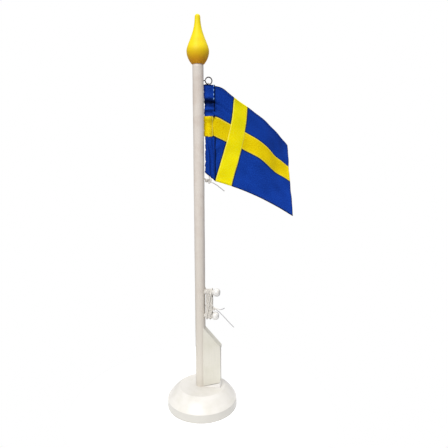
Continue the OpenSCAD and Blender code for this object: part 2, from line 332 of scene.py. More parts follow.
def blued_wire(name):
    """Mild steel wire, darkened by heat and handling, with a few brown freckles."""
    made, tree, shader = new_material(name, Metallic=1.0, Roughness=0.36)
    position = add(tree, "ShaderNodeTexCoord").outputs["Object"]
    spots = add(tree, "ShaderNodeTexNoise", {"Vector": position, "Scale": 900.0, "Detail": 4.0})
    tone = add(tree, "ShaderNodeValToRGB", {0: spots},
               stops=[(0.35, "3d3a3a"), (0.6, "5a5859"), (0.78, "6b4d3c")]).outputs[0]
    tree.links.new(tone, shader.inputs["Base Color"])
    dull = add(tree, "ShaderNodeMapRange", {0: spots, 3: 0.28, 4: 0.5})
    tree.links.new(dull.outputs[0], shader.inputs["Roughness"])
    return made


# The base's upright rim is painted greyer below RIM_H: painted shade on the rim's side.
WHITE_TURNED = wood_paint("white_brushed_paint_turned", "dedad2", "d9d5cb", 0.0, 0.4, 0.2, True, 0.9,
                          foot=(RIM_H - 0.1, RIM_H + 0.3, "bfbcb4"))
# The dowel is painted greyer towards its foot: painted shade against the light thrown up by the floor.
WHITE_DOWEL = wood_paint("white_brushed_paint_dowel", "e4dace", "dccfc2", POLE_X, 0.4, 0.2, False, 0.8,
                         foot=(60, 210, "cfc8bb"))
WHITE_BOARD = wood_paint("white_brushed_paint_board", "d3cfc2", "cecabb", POLE_X, 0.45, 0.15, False, 0.7)
WHITE_KNOB = wood_paint("white_brushed_paint_knob", "e6e3dd", "dfdbd3", POLE_X, 0.4, 0.2, False, 0.7)
# The flame is painted orange towards its foot: painted shade on its underside.
YELLOW_ENAMEL = wood_paint("yellow_gloss_enamel", "fbe200", "f9d600", POLE_X, 0.55, 0.0, True, 1.6,
                           foot=(POLE_TOP + 3, POLE_TOP + 15, "e09c00"))
STEEL_WIRE = blued_wire("darkened_steel_wire")
# The cotton's greyer free ends are painted shade.
COTTON = cotton_yarn("white_twisted_cotton", "e4dfd6", "cbc5b9", end_shade="b4b2b2")


def yellow_edge(line):
    """A yellow ribbon's edge stops: a dark rim of painted shade in the seam, then a pale line of the given
    colour.
    """
    return [(0.0, "8a7d18", "dddddd"), (0.16, line, "bbbbbb"), (0.5, line, "000000")]


# Each edge stop is a share of two millimetres, a colour, and how fully that colour covers the weave.
# The blue's near-black navy at the border is painted shade in the seam.
BLUE_SEAM_SHADE = [(0.0, "020618", "ffffff"), (0.36, "04103c", "e8e8e8"), (0.7, "133f9c", "000000")]
BLUE_RIBBON = ribbon_weave("blue_woven_ribbon", "1541a6", "0b2d82", "2054bc", 0.75, BLUE_SEAM_SHADE)
GOLD_RIBBON = ribbon_weave("golden_woven_ribbon", "fde000", "e8ba00", "fff428", 0.85, yellow_edge("fff27a"))
LEMON_RIBBON = ribbon_weave("lemon_woven_ribbon", "fff400", "fcdc00", "fffc48", 0.75, yellow_edge("fff68c"))
BLUE_THREAD = cotton_yarn("pale_blue_sewing_thread", "9ccaf8", "6fa4e4")
NAVY_THREAD = cotton_yarn("navy_sewing_thread", "0c1c50", "08133a")
YELLOW_THREAD = cotton_yarn("yellow_sewing_thread", "fff27a", "e9cf2a")
OCHRE_THREAD = cotton_yarn("ochre_sewing_thread", "b98a22", "96690f")


# ---- camera, light and floor ----

CAMERA_TURN = math.radians(12)
CAMERA_TILT = math.radians(10.06)
CAMERA_BACK = 418.1
CAMERA_RIGHT = 22.0
CAMERA_HEIGHT = 259.1
LENS = 36.16
ROOM_LIGHT = 0.40
TABLE_R = 130


def from_camera_plan(right, away):
    """A plan position given to the right of and away from the camera, in the stand's own axes."""
    c, s = math.cos(CAMERA_TURN), math.sin(CAMERA_TURN)
    return right * c - away * s, right * s + away * c


def make_camera():
    lens = bpy.data.cameras.new("camera")
    lens.lens = LENS
    lens.sensor_width = 36
    lens.clip_start = 0.01
    made = new_object("camera", lens)
    x, y = from_camera_plan(CAMERA_RIGHT, -CAMERA_BACK)
    made.location = Vector((x, y, CAMERA_HEIGHT)) * MM
    made.rotation_euler = (math.pi / 2 - CAMERA_TILT, 0, CAMERA_TURN)
    bpy.context.scene.camera = made


def soft_light(name, turn, rise, spread, strength):
    """Broad, even light from a direction given in degrees: turned from the camera, risen from the floor."""
    lamp = bpy.data.lights.new(name, "SUN")
    lamp.energy = strength
    lamp.angle = math.radians(spread)
    made = new_object(name, lamp)
    made.rotation_euler = (math.radians(90 - rise), 0, CAMERA_TURN + math.radians(turn))


def make_stage():
    """A pale matt round table top in a pale room, whose far walls are white paper."""
    sides = 96
    rim = [(TABLE_R * math.cos(TAU * k / sides), TABLE_R * math.sin(TAU * k / sides), 0)
           for k in range(sides)]
    floor = mesh_piece("floor", rim, [tuple(range(sides))])
    board = new_material("pale_matt_board", Roughness=0.95, Base_Color=colour("fdfdfd"),
                         Specular_IOR_Level=0.1, Emission_Color=colour("ffffff"), Emission_Strength=0.2)[0]
    floor.data.materials.append(board)
    world = bpy.data.worlds.new("pale_room")
    world.use_nodes = True
    tree = world.node_tree
    room = tree.nodes["Background"]
    room.inputs[0].default_value = colour("f4f6ff")
    room.inputs[1].default_value = ROOM_LIGHT
    paper = add(tree, "ShaderNodeBackground", {0: colour("ffffff"), 1: 1.0})
    seen = add(tree, "ShaderNodeLightPath")
    both = add(tree, "ShaderNodeMixShader", {0: seen.outputs["Is Camera Ray"], 1: room,
                                             2: paper})
    tree.links.new(both.outputs[0], tree.nodes["World Output"].inputs[0])
    bpy.context.scene.world = world
    bpy.context.scene.view_settings.view_transform = "Standard"
    soft_light("high_window", -20, 41, 28, 2.45)
    soft_light("ceiling_panel", 140, 72, 60, 1.6)


make_camera()
make_stage()


# ---- cords ----

# The routes follow the CAD's cord nodes, in millimetres
HALYARD_ROUTE = [
    (7.81, 3.99, 312.3), (7.8, 4.02, 312.6), (7.7, 4.2, 313.0), (7.3, 4.9, 313.3),
    (6.8, 5.8, 313.1), (5.5, 6.4, 312.7), (4.0, 6.35, 312.3), (2.3, 6.1, 311.5),
    (0.4, 5.95, 309), (-1.5, 5.7, 305), (-2.9, 5.4, 300), (-2.9, 5.4, 260),
    (-2.9, 5.4, 200), (-2.9, 5.4, 132), (-2.5, 6.4, 128), (-1.0, 7.1, 124.3),
    (0.6, 6.9, 122.4), (2.2, 6.1, 120.8), (3.6, 4.9, 119.4)]
LEAD_ROUTE = [(-1.0, 5.9, 124), (-1.0, 5.9, 116), (-0.4, 5.9, 108), (1.5, 5.6, 103)]
LONG_TAIL = [
    (15.26, -3.84, 102.73), (17.5, -4.0, 101.4), (20.0, -4.4, 99.6), (24.5, -5.5, 95.8),
    (29.5, -7.2, 91.6), (34.0, -9.2, 88.6)]
SHORT_TAIL = [(15.45, -3.85, 103.85), (18.2, -3.8, 103.0), (21.2, -3.7, 103.4), (23.8, -3.5, 104.8)]
HITCH = np.array((13.6, -3.6, 103.2))
TIE_ROUTE = [
    (5.8, 4.0, 226.5), (4.2, 3.0, 227.2), (3.0, 4.5, 227.2),
    (1.0, 5.8, 226.9), (-0.6, 6.1, 226.5), (-1.0, 5.9, 225.8), (-1.0, 5.9, 225)]
LOWER_TAIL = [
    (8.51, 4.57, 224.52), (11.0, 5.0, 223.4), (14.0, 5.2, 221.8), (17.5, 5.0, 219.3), (22.0, 4.6, 216.0)]
KNOT = np.array((7.3, 4.9, 225.4))

# Every PLY_TURN millimetres each ply has come round to the next one's place
PLY_COUNT = 3
PLY_TURN = 4.2
RING_STEP = 0.3
RING_SIDES = 12


def twisted_cord(name, path, diameter, ply_depth=0.12, ends=True, handled=0.0):
    """A three-ply cord along an even path: its section has three lobes that turn as it goes. Its last
    argument is the length of its last stretch that is painted greyer, as painted shade."""
    path = np.asarray(path, float)
    ahead = np.gradient(path, axis=0)
    ahead /= np.linalg.norm(ahead, axis=1)[:, None]
    side = np.cross(ahead[0], (0.3, 1, 0.2))
    side /= np.linalg.norm(side)
    run = np.concatenate([[0], np.cumsum(np.linalg.norm(np.diff(path, axis=0), axis=1))])
    angle = np.arange(RING_SIDES) / RING_SIDES * TAU
    points = []
    for i, (p, t) in enumerate(zip(path, ahead)):
        side = side - t * (side @ t)
        side /= np.linalg.norm(side)
        up = np.cross(t, side)
        lobe = np.cos(PLY_COUNT * angle - TAU * run[i] / PLY_TURN)
        radius = diameter / 2 * (1 - ply_depth + ply_depth * lobe)
        if ends and (i == 0 or i == len(path) - 1):
            radius = radius * 0.7
        points.append(p + radius[:, None] * (np.cos(angle)[:, None] * side + np.sin(angle)[:, None] * up))
    n = RING_SIDES
    faces = [(i * n + k, i * n + (k + 1) % n, (i + 1) * n + (k + 1) % n, (i + 1) * n + k)
             for i in range(len(path) - 1) for k in range(n)]
    faces += [tuple(range(n))[::-1], tuple(range((len(path) - 1) * n, len(path) * n))]
    # Painted shade: the cord's last stretch is marked to be painted greyer.
    grey = smoothstep(-handled - 2, -handled + 2, run - run[-1]) if handled else np.zeros(len(run))
    return mesh_piece(name, np.vstack(points), faces, handled=np.repeat(grey, n))


HANK_START = 4.8
HANK_END = 10.8
HANK_PHASES = (0.5, 7.3)
HANK_FAN = 0.13


def turn_point(x, phase, radius):
    """A point of a turn round both pegs. phase runs 0 to 1 from the front of the lower peg, up the
    front, over the upper peg, down the back and under the lower peg. The turns fan out upwards."""
    straight = UPPER_PEG_Z - LOWER_PEG_Z
    bend = math.pi * radius
    run = (phase % 1) * 2 * (straight + bend)
    if run < straight:
        y, z = -radius, LOWER_PEG_Z + run
    elif run < straight + bend:
        a = (run - straight) / radius
        y, z = -radius * math.cos(a), UPPER_PEG_Z + radius * math.sin(a)
    elif run < 2 * straight + bend:
        y, z = radius, UPPER_PEG_Z - (run - straight - bend)
    else:
        a = (run - 2 * straight - bend) / radius
        y, z = radius * math.cos(a), LOWER_PEG_Z - radius * math.sin(a)
    fan = 1 + HANK_FAN * (z - LOWER_PEG_Z) / straight
    return HANK_START + (x - HANK_START) * fan, y, z


def turns(x_from, x_to, phase_from, phase_to, radius_from, radius_to, steps_per_turn=28):
    count = int((phase_to - phase_from) * steps_per_turn)
    shares = [i / count for i in range(count + 1)]
    return [turn_point(x_from + (x_to - x_from) * u, phase_from + (phase_to - phase_from) * u,
                       radius_from + (radius_to - radius_from) * u) for u in shares]


def overhand_knot(name, centre, size, diameter, turn=0.0, squash=1.0):
    """A small overhand knot: a closed three-crossing loop of cord."""
    t = np.linspace(0, TAU, 73)[:-1]
    loop = np.column_stack([np.sin(t) + 2 * np.sin(2 * t), squash * -np.sin(3 * t) * 1.2,
                            np.cos(t) - 2 * np.cos(2 * t)]) * size / 3
    c, s = math.cos(turn), math.sin(turn)
    loop = loop @ np.array([[c, s, 0], [-s, c, 0], [0, 0, 1]]) + centre
    loop = np.vstack([loop, loop[:1]])
    return twisted_cord(name, smooth_route(loop, 0.35), diameter, ends=False)


def make_stand_cords():
    inner = SHANK_R + 0.55
    outer = inner + CORD_D
    winding = turns(HANK_START, HANK_END, *HANK_PHASES, inner, inner)
    halyard = smooth_route(
        HALYARD_ROUTE + winding + [(11.2, -3.2, 108.5), (12.6, -3.4, 105.2), tuple(HITCH)] + LONG_TAIL,
        RING_STEP)
    cord = twisted_cord("halyard", halyard, CORD_D, handled=24)
    hitch = overhand_knot("halyard_hitch", HITCH, 1.35, CORD_D, turn=0.3)
    dress(cord, COTTON, "stand", "white_cord", "halyard_run", "cleat_hank", "halyard_long_tail")
    dress(hitch, COTTON, "stand", "white_cord", "halyard_knot")

    crossing = turns(5.2, 6.0, 0.72, 1.0, outer, outer)
    diagonal = [(7.0, -outer - 0.1, 99), (8.6, -outer - 0.2, 108), (9.8, -outer, 116)]
    over = turns(9.9, 9.0, 1.40, 1.92, outer, outer)
    lead = smooth_route(
        LEAD_ROUTE + crossing + diagonal + over
        + [(9.0, -outer + 0.6, 93.8), (10.2, -outer - 0.3, 98.5), (12.2, -3.9, 102.2), tuple(HITCH)]
        + SHORT_TAIL, RING_STEP)
    second = twisted_cord("downhaul_end", lead, CORD_D, handled=5)
    dress(second, COTTON, "stand", "white_cord", "cleat_lead", "halyard_short_tail")


def make_hoisted_cords():
    line_end = np.array((HOIST[0], HOIST[1], 310.2))
    down = smooth_route([line_end, (HOIST[0], HOIST[1], 270), (HOIST[0], HOIST[1], 230), KNOT]
                        + LOWER_TAIL, RING_STEP)
    line = twisted_cord("hoist_cord", down, CORD_D, handled=14)
    knot = overhand_knot("corner_knot", KNOT, 2.3, CORD_D * 1.05, turn=0.2, squash=0.8)
    tie = twisted_cord("corner_tie", smooth_route([tuple(KNOT)] + TIE_ROUTE, RING_STEP), CORD_D)
    loop = overhand_knot("corner_loop", (4.9, 3.2, 225.9), 1.5, CORD_D, turn=-0.4)
    dress(line, COTTON, "carriage", "white_cord", "hoist_line", "lower_tail")
    dress(knot, COTTON, "carriage", "white_cord")
    dress(tie, COTTON, "carriage", "white_cord", "lower_tie")
    dress(loop, COTTON, "carriage", "white_cord")


def stretching_cord(name, route, node):
    """A straight stretch of cord, whose length changes as the flag is hoisted or lowered; it is made at its
    length in this pose.
    """
    piece = twisted_cord(name, smooth_route(route, RING_STEP), CORD_D, ends=False)
    piece.data.materials.append(COTTON)
    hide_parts(node)
    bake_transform(piece)


make_stand_cords()
make_hoisted_cords()
stretching_cord("hoist_strand_cord",
                [(HOIST[0], HOIST[1], 310.2), (7.3, 4.88, 310.85), (7.54, 4.46, 311.24),
                 (7.75, 4.1, 311.58), (7.81, 3.99, 311.9), (7.81, 3.99, 312.25)],
                "hoist_strand")
stretching_cord("downhaul_cord", [(-1.0, 5.9, 124), (-1.0, 5.9, 160), (-1.0, 5.9, 225)],
                "downhaul_run")


# ---- turned and sawn wood ----

def lathe(name, outline, centre_x, segments=128):
    """Turns an outline of (radius, height) round a vertical axis; it starts and ends on the axis."""
    outline = [tuple(p) for p in outline]
    inner = [p for p in outline if p[0] > 1e-6]
    points = []
    for r, z in inner:
        for k in range(segments):
            a = TAU * k / segments
            points.append((centre_x + r * math.cos(a), r * math.sin(a), z))
    low, high = len(points), len(points) + 1
    points += [(centre_x, 0, outline[0][1]), (centre_x, 0, outline[-1][1])]
    faces = []
    for i in range(len(inner) - 1):
        for k in range(segments):
            n = (k + 1) % segments
            below, above = i * segments, (i + 1) * segments
            faces.append((below + k, below + n, above + n, above + k))
    last = (len(inner) - 1) * segments
    for k in range(segments):
        n = (k + 1) % segments
        faces.append((low, n, k))
        faces.append((high, last + k, last + n))
    return face_outwards(mesh_piece(name, points, faces))


def arc(cx, cy, rx, ry, start, end, count):
    return [(cx + rx * math.cos(math.radians(start + (end - start) * i / count)),
             cy + ry * math.sin(math.radians(start + (end - start) * i / count))) for i in range(count + 1)]


def make_base():
    """The turned base: a flat seat, an upright rim, a sloping round shoulder that meets the rim in a
    crisp edge, and a flat top with the fine raised ring that the tool left at its border."""
    shoulder = [(BASE_R, RIM_H), (BASE_R - 5.3, RIM_H + 8.4), (TOP_R, BASE_H - 0.25)]
    outline = [(0, 0), (BASE_R - 3, 0)] + arc(BASE_R - 1.2, 1.2, 1.2, 1.2, -90, 0, 6)
    outline += [(BASE_R, 3.5), (BASE_R, RIM_H - 0.6), (BASE_R - 0.06, RIM_H - 0.15),
                (BASE_R - 0.22, RIM_H + 0.2)]
    outline += list(bezier(shoulder, np.linspace(0.04, 0.985, 26)))
    outline += [(TOP_R - 0.3, BASE_H - 0.03), (TOP_R - 0.8, BASE_H - 0.02), (TOP_R - 1.5, BASE_H - 0.16),
                (TOP_R - 3, BASE_H - 0.2), (15, BASE_H - 0.12), (8, BASE_H - 0.05), (0, BASE_H - 0.05)]
    piece = lathe("base_turned", outline, 0.0, 160)
    dress(piece, WHITE_TURNED, "stand", "white_paint", "base")


def make_pole():
    """The dowel, with the slight waviness of a planed and hand-painted stick."""
    rings = np.concatenate([[BASE_H - 12], np.linspace(BASE_H - 11.8, POLE_TOP, 150)])
    outline = [(0, rings[0])]
    for z in rings:
        outline.append((POLE_R - 0.05 + 0.03 * math.sin(z / 11) + 0.02 * math.sin(z / 4.3 + 1), z))
    outline.append((0, POLE_TOP))
    dress(lathe("pole_dowel", outline, POLE_X, 72), WHITE_DOWEL, "stand", "white_paint", "pole")


def make_finial():
    """The flame: a full belly over a narrow foot, drawn up into a slim neck with a round tip."""
    belly, tip_r, tip_z = (10.0, 10.8), 2.45, 39.55
    lower = bezier([(6.0, 0.5), (7.8, 3.0), (10.0, 6.3), belly], np.linspace(0, 1, 14))
    upper = bezier([belly, (10.0, 17), (2.7, 25), (tip_r, tip_z)], np.linspace(0, 1, 30)[1:])
    tip = arc(0, tip_z, tip_r, tip_r, 15, 80, 6)
    outline = [(0, 0), (4.8, 0), (5.6, 0.2), *lower, *upper, *tip, (0, 42)]
    outline = [(r, z + POLE_TOP) for r, z in outline]
    dress(lathe("finial_flame", outline, POLE_X, 96), YELLOW_ENAMEL, "stand", "yellow_paint", "finial")


def make_peg(name, z, head_start, node):
    """A turned peg lying along +X, with a rounded mushroom head."""
    outline = [(0, 0), (SHANK_R - 0.05, 0), (SHANK_R - 0.05, head_start - 0.2)]
    outline += arc(2.2, head_start + 1.75, 1.75, 1.7, -80, 0, 8)
    outline += arc(1.25, head_start + 3.0, 2.7, 2.95, 6, 84, 12) + [(0, head_start + 5.98)]
    piece = lathe(name, outline, 0.0, 64)
    co = np.array([v.co for v in piece.data.vertices])
    turned = np.column_stack([co[:, 2] + POLE_X * MM, co[:, 1], -co[:, 0] + z * MM])
    piece.data.vertices.foreach_set("co", turned.ravel())
    piece.data.update()
    dress(piece, WHITE_KNOB, "stand", "white_paint", node)


def make_plate(name, outline, thickness, soften, finish, node):
    """A sawn plate standing along +X beside the pole, coved to the pole, with softened edges."""
    count = len(outline)
    points = [(x + POLE_X, side * thickness / 2, z) for side in (-1, 1) for x, z in outline]
    faces = [tuple(range(count)), tuple(range(count, 2 * count))[::-1]]
    faces += [(i, i + count, (i + 1) % count + count, (i + 1) % count) for i in range(count)]
    piece = face_outwards(mesh_piece(name, points, faces))
    cove = lathe(name + "_cove", [(0, 0), (POLE_R - 0.06, 0), (POLE_R - 0.06, 120), (0, 120)], POLE_X, 96)
    cut = piece.modifiers.new("cove", "BOOLEAN")
    cut.operation = "DIFFERENCE"
    cut.object = cove
    edge = piece.modifiers.new("edge", "BEVEL")
    edge.width = soften * MM
    edge.segments = 3
    edge.limit_method = "ANGLE"
    edge.angle_limit = math.radians(40)
    normals = piece.modifiers.new("normals", "WEIGHTED_NORMAL")
    normals.keep_sharp = True
    apply_modifiers(piece)
    bpy.data.objects.remove(cove)
    dress(piece, finish, "stand", "white_paint", node)


def make_screw_eye():
    """The eye: a wire ring, not quite closed, on a straight shank that goes into the pole."""
    out = np.array((math.cos(HOIST_TURN), math.sin(HOIST_TURN), 0))
    up = np.array((0, 0, 1))
    pole = np.array((POLE_X, 0, EYE_Z))
    centre = pole + out * HOIST_REACH
    shank = [pole + out * r for r in (2.0, 4.0, 5.6, 6.3)]
    ring = [centre + EYE_R * (math.cos(a) * out + math.sin(a) * up)
            for a in np.linspace(math.pi * 1.04, math.pi * 2.93, 40)]
    wire = smooth_route(shank + ring, 0.25)
    piece = twisted_cord("screw_eye", wire, 1.0, ply_depth=0.0)
    dress(piece, STEEL_WIRE, "stand", "dark_steel", "top_eye")


make_base()
make_pole()
make_finial()
make_peg("cleat_peg_upper", UPPER_PEG_Z, 13.8, "upper_peg")
make_peg("cleat_peg_lower", LOWER_PEG_Z, 12.6, "lower_peg")
make_plate("support_board_sawn", [(3, BASE_H + 0.1), (20.5, BASE_H + 6.1), (20.5, 64.5), (3, 83.5)], 7.0,
           0.5, WHITE_BOARD, "support_board")
make_plate("support_wedge_sawn", [(4.6, BASE_H - 0.05), (20.3, BASE_H - 0.05), (20.3, BASE_H + 5.1)], 6.3,
           0.2, WHITE_KNOB, "support_wedge")
make_screw_eye()


# ---- flag ----

SLEEVE_ALONG = np.array((math.cos(SLEEVE_TURN), math.sin(SLEEVE_TURN), 0.0))
SLEEVE_FRONT = np.array((math.sin(SLEEVE_TURN), -math.cos(SLEEVE_TURN), 0.0))

# The flag's flat cut: s runs from the cord to the fly and t from the lower edge up
SLEEVE_EDGE = 5.0
FLY = 113.0
HOIST_H = 86.0
UPRIGHT_SHARE = (0.2, 0.354)
UPRIGHT = tuple(SLEEVE_EDGE + share * FLY for share in UPRIGHT_SHARE)
ARM = (0.47 * HOIST_H, 0.68 * HOIST_H)
TOP_EDGE = [(12, 6.8, 311), (53, 37, 288.5), (73.5, 85, 258)]
BOTTOM_EDGE = [(12, 6.8, 225), (47, 20, 215), (83.5, 46.5, 188)]
GATHER = ([0, *UPRIGHT_SHARE, 1], [0, 0.008, 0.215, 1])
# How far the sleeve's folded edge draws in from the pole, at heights along it
SLEEVE_SLACK = ([225, 229, 234, 239, 245, 251, 257, 262, 265.5, 267, 283, 286, 291, 294.5, 298, 311],
                [0.5, 1.0, 0.75, 1.35, 0.8, 1.3, 1.1, 1.35, 0.7, 0.0, 0.0, 0.35, 0.5, 1.1, 0.1, 0.0])
HOIST_CLOTH = UPRIGHT[0] - SLEEVE_EDGE
FOLD_IN = 1.8
CORNER_LIFT = 2.1
CORNER_SLANT = 0.75
SLEEVE_BACK = 2.9
FOLD_DEPTH = 0.26
FOLD_MOUTH = (1.1, 0.3)
FOLD_BACK = np.array((-0.37, 0.93, 0.45))
SLEEVE_FOLD = -4.6
PANEL_START = 3.3
UNDER = 1.2
HEM = 2.6
CLOTH_STEP = 0.9
FINE_STEP = 0.55


def corner_rise(beyond, t):
    """How far the upper edge humps up next to the sleeve, from the distance beyond the sleeve."""
    a = np.clip(beyond / FLY, 0, 1)
    return 2.9 * bump(a, 0.085, 0.075) * smoothstep(0.5, 1.0, t / HOIST_H)


def hanging_cloth(s, t):
    """Where the cloth hangs, for flat places s and t in millimetres, before its wrinkles.

    Beside the sleeve the lower edge is gathered: the spare cloth stands back in one fold next to the
    sleeve, and the rest of it stays flat up to the yellow upright.
    """
    a = np.clip((s - SLEEVE_EDGE) / FLY, 0, 1)
    v = np.clip(t / HOIST_H, 0, 1)
    low_near = bezier(BOTTOM_EDGE, [0.0])[0] + (0, 0, CORNER_LIFT)
    high_near = bezier(TOP_EDGE, [0.0])[0]
    low_far = bezier(BOTTOM_EDGE, [GATHER[1][1]])[0]
    high_far = bezier(TOP_EDGE, [UPRIGHT_SHARE[0]])[0]
    near = low_near + (high_near - low_near) * v[:, None] - FOLD_IN * SLEEVE_ALONG
    far = low_far + (high_far - low_far) * v[:, None]
    gap = np.linalg.norm(far - near, axis=1)
    mouth = FOLD_MOUTH[0] + (FOLD_MOUTH[1] - FOLD_MOUTH[0]) * smoothstep(0.36, 0.46, v)
    folded = np.clip(1 - (gap - mouth) / HOIST_CLOTH, 0.02, 1)
    share = np.clip(a / UPRIGHT_SHARE[0], 0, 1)
    in_fold = share < folded
    across = np.where(in_fold, share / folded * np.minimum(mouth / gap, 0.9),
                      1 - (1 - share) * HOIST_CLOTH / gap)
    across = np.clip(across, 0, 1)[:, None]
    depth = np.where(in_fold, np.clip(1 - np.abs(2 * share / folded - 1), 0, 1) ** 0.8, 0)
    depth = depth * folded * HOIST_CLOTH * FOLD_DEPTH
    hoist_part = near + (far - near) * across

    low = bezier(BOTTOM_EDGE, np.interp(a, *GATHER))
    high = bezier(TOP_EDGE, a)
    fly_part = low + (high - low) * v[:, None]
    p = np.where((a < UPRIGHT_SHARE[0])[:, None], hoist_part, fly_part)
    p = p + depth[:, None] * FOLD_BACK

    # the whole cloth bows out between its two pulled corners
    window = smoothstep(0.0, 0.2, a) * (1 - smoothstep(0.4, 0.95, a))
    bow = 2.9 * np.sin(np.pi * v ** 1.4) * window
    p[:, 0] += bow * 0.9
    p[:, 1] += bow * 0.4
    p[:, 2] += corner_rise(s - SLEEVE_EDGE, t)
    behind = np.minimum(s - SLEEVE_EDGE, 0)
    p[:, 0] += behind * math.cos(SLEEVE_TURN)
    p[:, 1] += behind * math.sin(SLEEVE_TURN)
    p[:, 2] -= behind * CORNER_SLANT * (1 - v)
    return p


def crease_height(s):
    """The height, as a share of the hoist, of the sharp fold where the sleeve is pinched."""
    return 0.822 - 0.0012 * np.maximum(s, 0)


def crease_depth(s, t):
    """How deep in that fold the cloth lies, from 0 to 1, which sets the painted shade in the fold; it runs
    out towards the fly.
    """
    away = np.exp(-(np.maximum(s - 4, 0) / 6.5) ** 2)
    return bump(t / HOIST_H, crease_height(s) + 0.004, 0.014 + 0.020 * away) * away


def wrinkles(s, t):
    """How far the cloth stands off its hanging line, towards the front, and how far it drops."""
    a = (s - SLEEVE_EDGE) / FLY
    v = t / HOIST_H
    near = np.exp(-np.maximum(s + 1, 0) / 8) * smoothstep(-5.5, -2.2, s)
    near = near * (1 - 0.75 * smoothstep(2.5, 6, s))
    crease_t = crease_height(s)
    pinch = (-4.2 * bump(v, crease_t, 0.024) + 3.0 * bump(v, crease_t + 0.046, 0.030)) * near
    rays = 1.3 * np.exp(-np.maximum(s, 0) / 12) * np.sin(17 * np.arctan2(v - 0.83, 0.10 + np.maximum(a, 0)))
    rays = rays * smoothstep(0.52, 0.66, v) * (1 - smoothstep(0.80, 0.86, v))
    lower = 1 - smoothstep(0.40, 0.49, v)
    crush = 1.15 * np.sin(TAU * (s + 0.10 * t) / 4.2 + 0.9 * np.sin(t / 5.3)) * lower
    crush = crush * smoothstep(-4.2, -1, s) * (1 - smoothstep(2.5, 5, s))
    slant = 0.5 * np.sin(TAU * (s - 0.55 * t) / 11) * bump(a, 0.10, 0.07) * lower
    wave = 1.6 * np.sin(TAU * (a - 0.42) / 0.62) * smoothstep(0.34, 0.55, a)
    wave = wave * (0.4 + 0.6 * np.sin(np.pi * v))
    soft = (0.26 * np.sin(a * 31 + v * 9) + 0.2 * np.sin(a * 17 - v * 21 + 1.3)
            + 0.12 * np.sin(v * 37 + a * 11))
    seams = bump(s, UPRIGHT[0], 1.6) + bump(s, UPRIGHT[1], 1.6)
    pucker = 0.10 * np.sin(t * 1.9 + np.sin(t * 0.7)) * seams
    drop = -2.3 * bump(a, 0.76, 0.13) * np.sin(np.pi * np.clip(v, 0, 1))
    return pinch + rays + crush + slant + wave + pucker + soft * smoothstep(0, 0.1, a), drop


def flag_surface(s, t):
    """Points and front-facing normals of the finished cloth for arrays of flat places."""
    def place(s, t):
        p = hanging_cloth(s, t)
        e = 0.5
        along = hanging_cloth(s + e, t) - hanging_cloth(s - e, t)
        front = np.column_stack([along[:, 1], -along[:, 0], np.zeros(len(s))])
        front /= np.linalg.norm(front, axis=1)[:, None]
        out, drop = wrinkles(s, t)
        p = p + front * out[:, None]
        p[:, 2] += drop
        return p
    h = 0.4
    du = place(s + h, t) - place(s - h, t)
    dv = place(s, np.minimum(t + h, HOIST_H)) - place(s, np.maximum(t - h, 0))
    normal = np.cross(du, dv)
    normal /= np.maximum(np.linalg.norm(normal, axis=1), 1e-9)[:, None]
    return place(s, t), normal


def closed_sheet(name, front, back, uv, **marks):
    """A closed sheet from two grids of points, with a wall along all four edges."""
    count = front.shape[0] * front.shape[1]
    index = np.arange(count).reshape(front.shape[:2])
    a, b, c, d = index[:-1, :-1], index[1:, :-1], index[1:, 1:], index[:-1, 1:]
    face = np.stack([a, b, c, d], axis=2).reshape(-1, 4)
    loop = np.concatenate([index[:, 0], index[-1, 1:], index[-2::-1, -1], index[0, -2:0:-1]])
    after = np.roll(loop, -1)
    wall = np.column_stack([after, loop, loop + count, after + count])
    faces = np.vstack([face, face[:, ::-1] + count, wall])
    points = np.vstack([front.reshape(-1, 3), back.reshape(-1, 3)])
    both = {key: np.concatenate([values, values]) for key, values in marks.items()}
    return face_outwards(mesh_piece(name, points, faces.tolist(), np.vstack([uv, uv]), **both))


def cloth_panel(name, s_range, t_range, thickness, borders, step, hem, edge):
    """A closed sheet over a rectangle of the flat cut. thickness is the middle's; the cut edges are
    pressed down to edge. borders are its visible borders, as ("s" or "t", place), from which the
    cloth's edge_mm mark is measured. hem gives the turned-in hem's extra thickness."""
    across = max(2, int(round((s_range[1] - s_range[0]) / step)))
    up = max(2, int(round((t_range[1] - t_range[0]) / step)))
    ss, tt = np.meshgrid(np.linspace(*s_range, across + 1), np.linspace(*t_range, up + 1), indexing="ij")
    s, t = ss.ravel(), tt.ravel()
    p, n = flag_surface(s, t)
    rim = np.minimum.reduce([s - s_range[0], s_range[1] - s, t - t_range[0], t_range[1] - t])
    thick = edge + (thickness - edge) * smoothstep(0, 0.9, rim) + hem(s, t)
    border = np.minimum.reduce([np.abs((s if axis == "s" else t) - place) for axis, place in borders])
    shape = (across + 1, up + 1, 3)
    front = (p + n * (thick / 2)[:, None]).reshape(shape)
    back = (p - n * (thick / 2)[:, None]).reshape(shape)
    return closed_sheet(name, front, back, np.column_stack([s, t]), edge_mm=border,
                        crease=crease_depth(s, t))


def turned_hem(width):
    """Extra thickness where the lower, upper and fly edges are turned in and stitched."""
    def thicker(s, t):
        near = np.minimum.reduce([t, HOIST_H - t, SLEEVE_EDGE + FLY - s])
        return 0.45 * (1 - smoothstep(width - 0.4, width + 0.2, near)) * smoothstep(-0.1, 0.5, near)
    return thicker


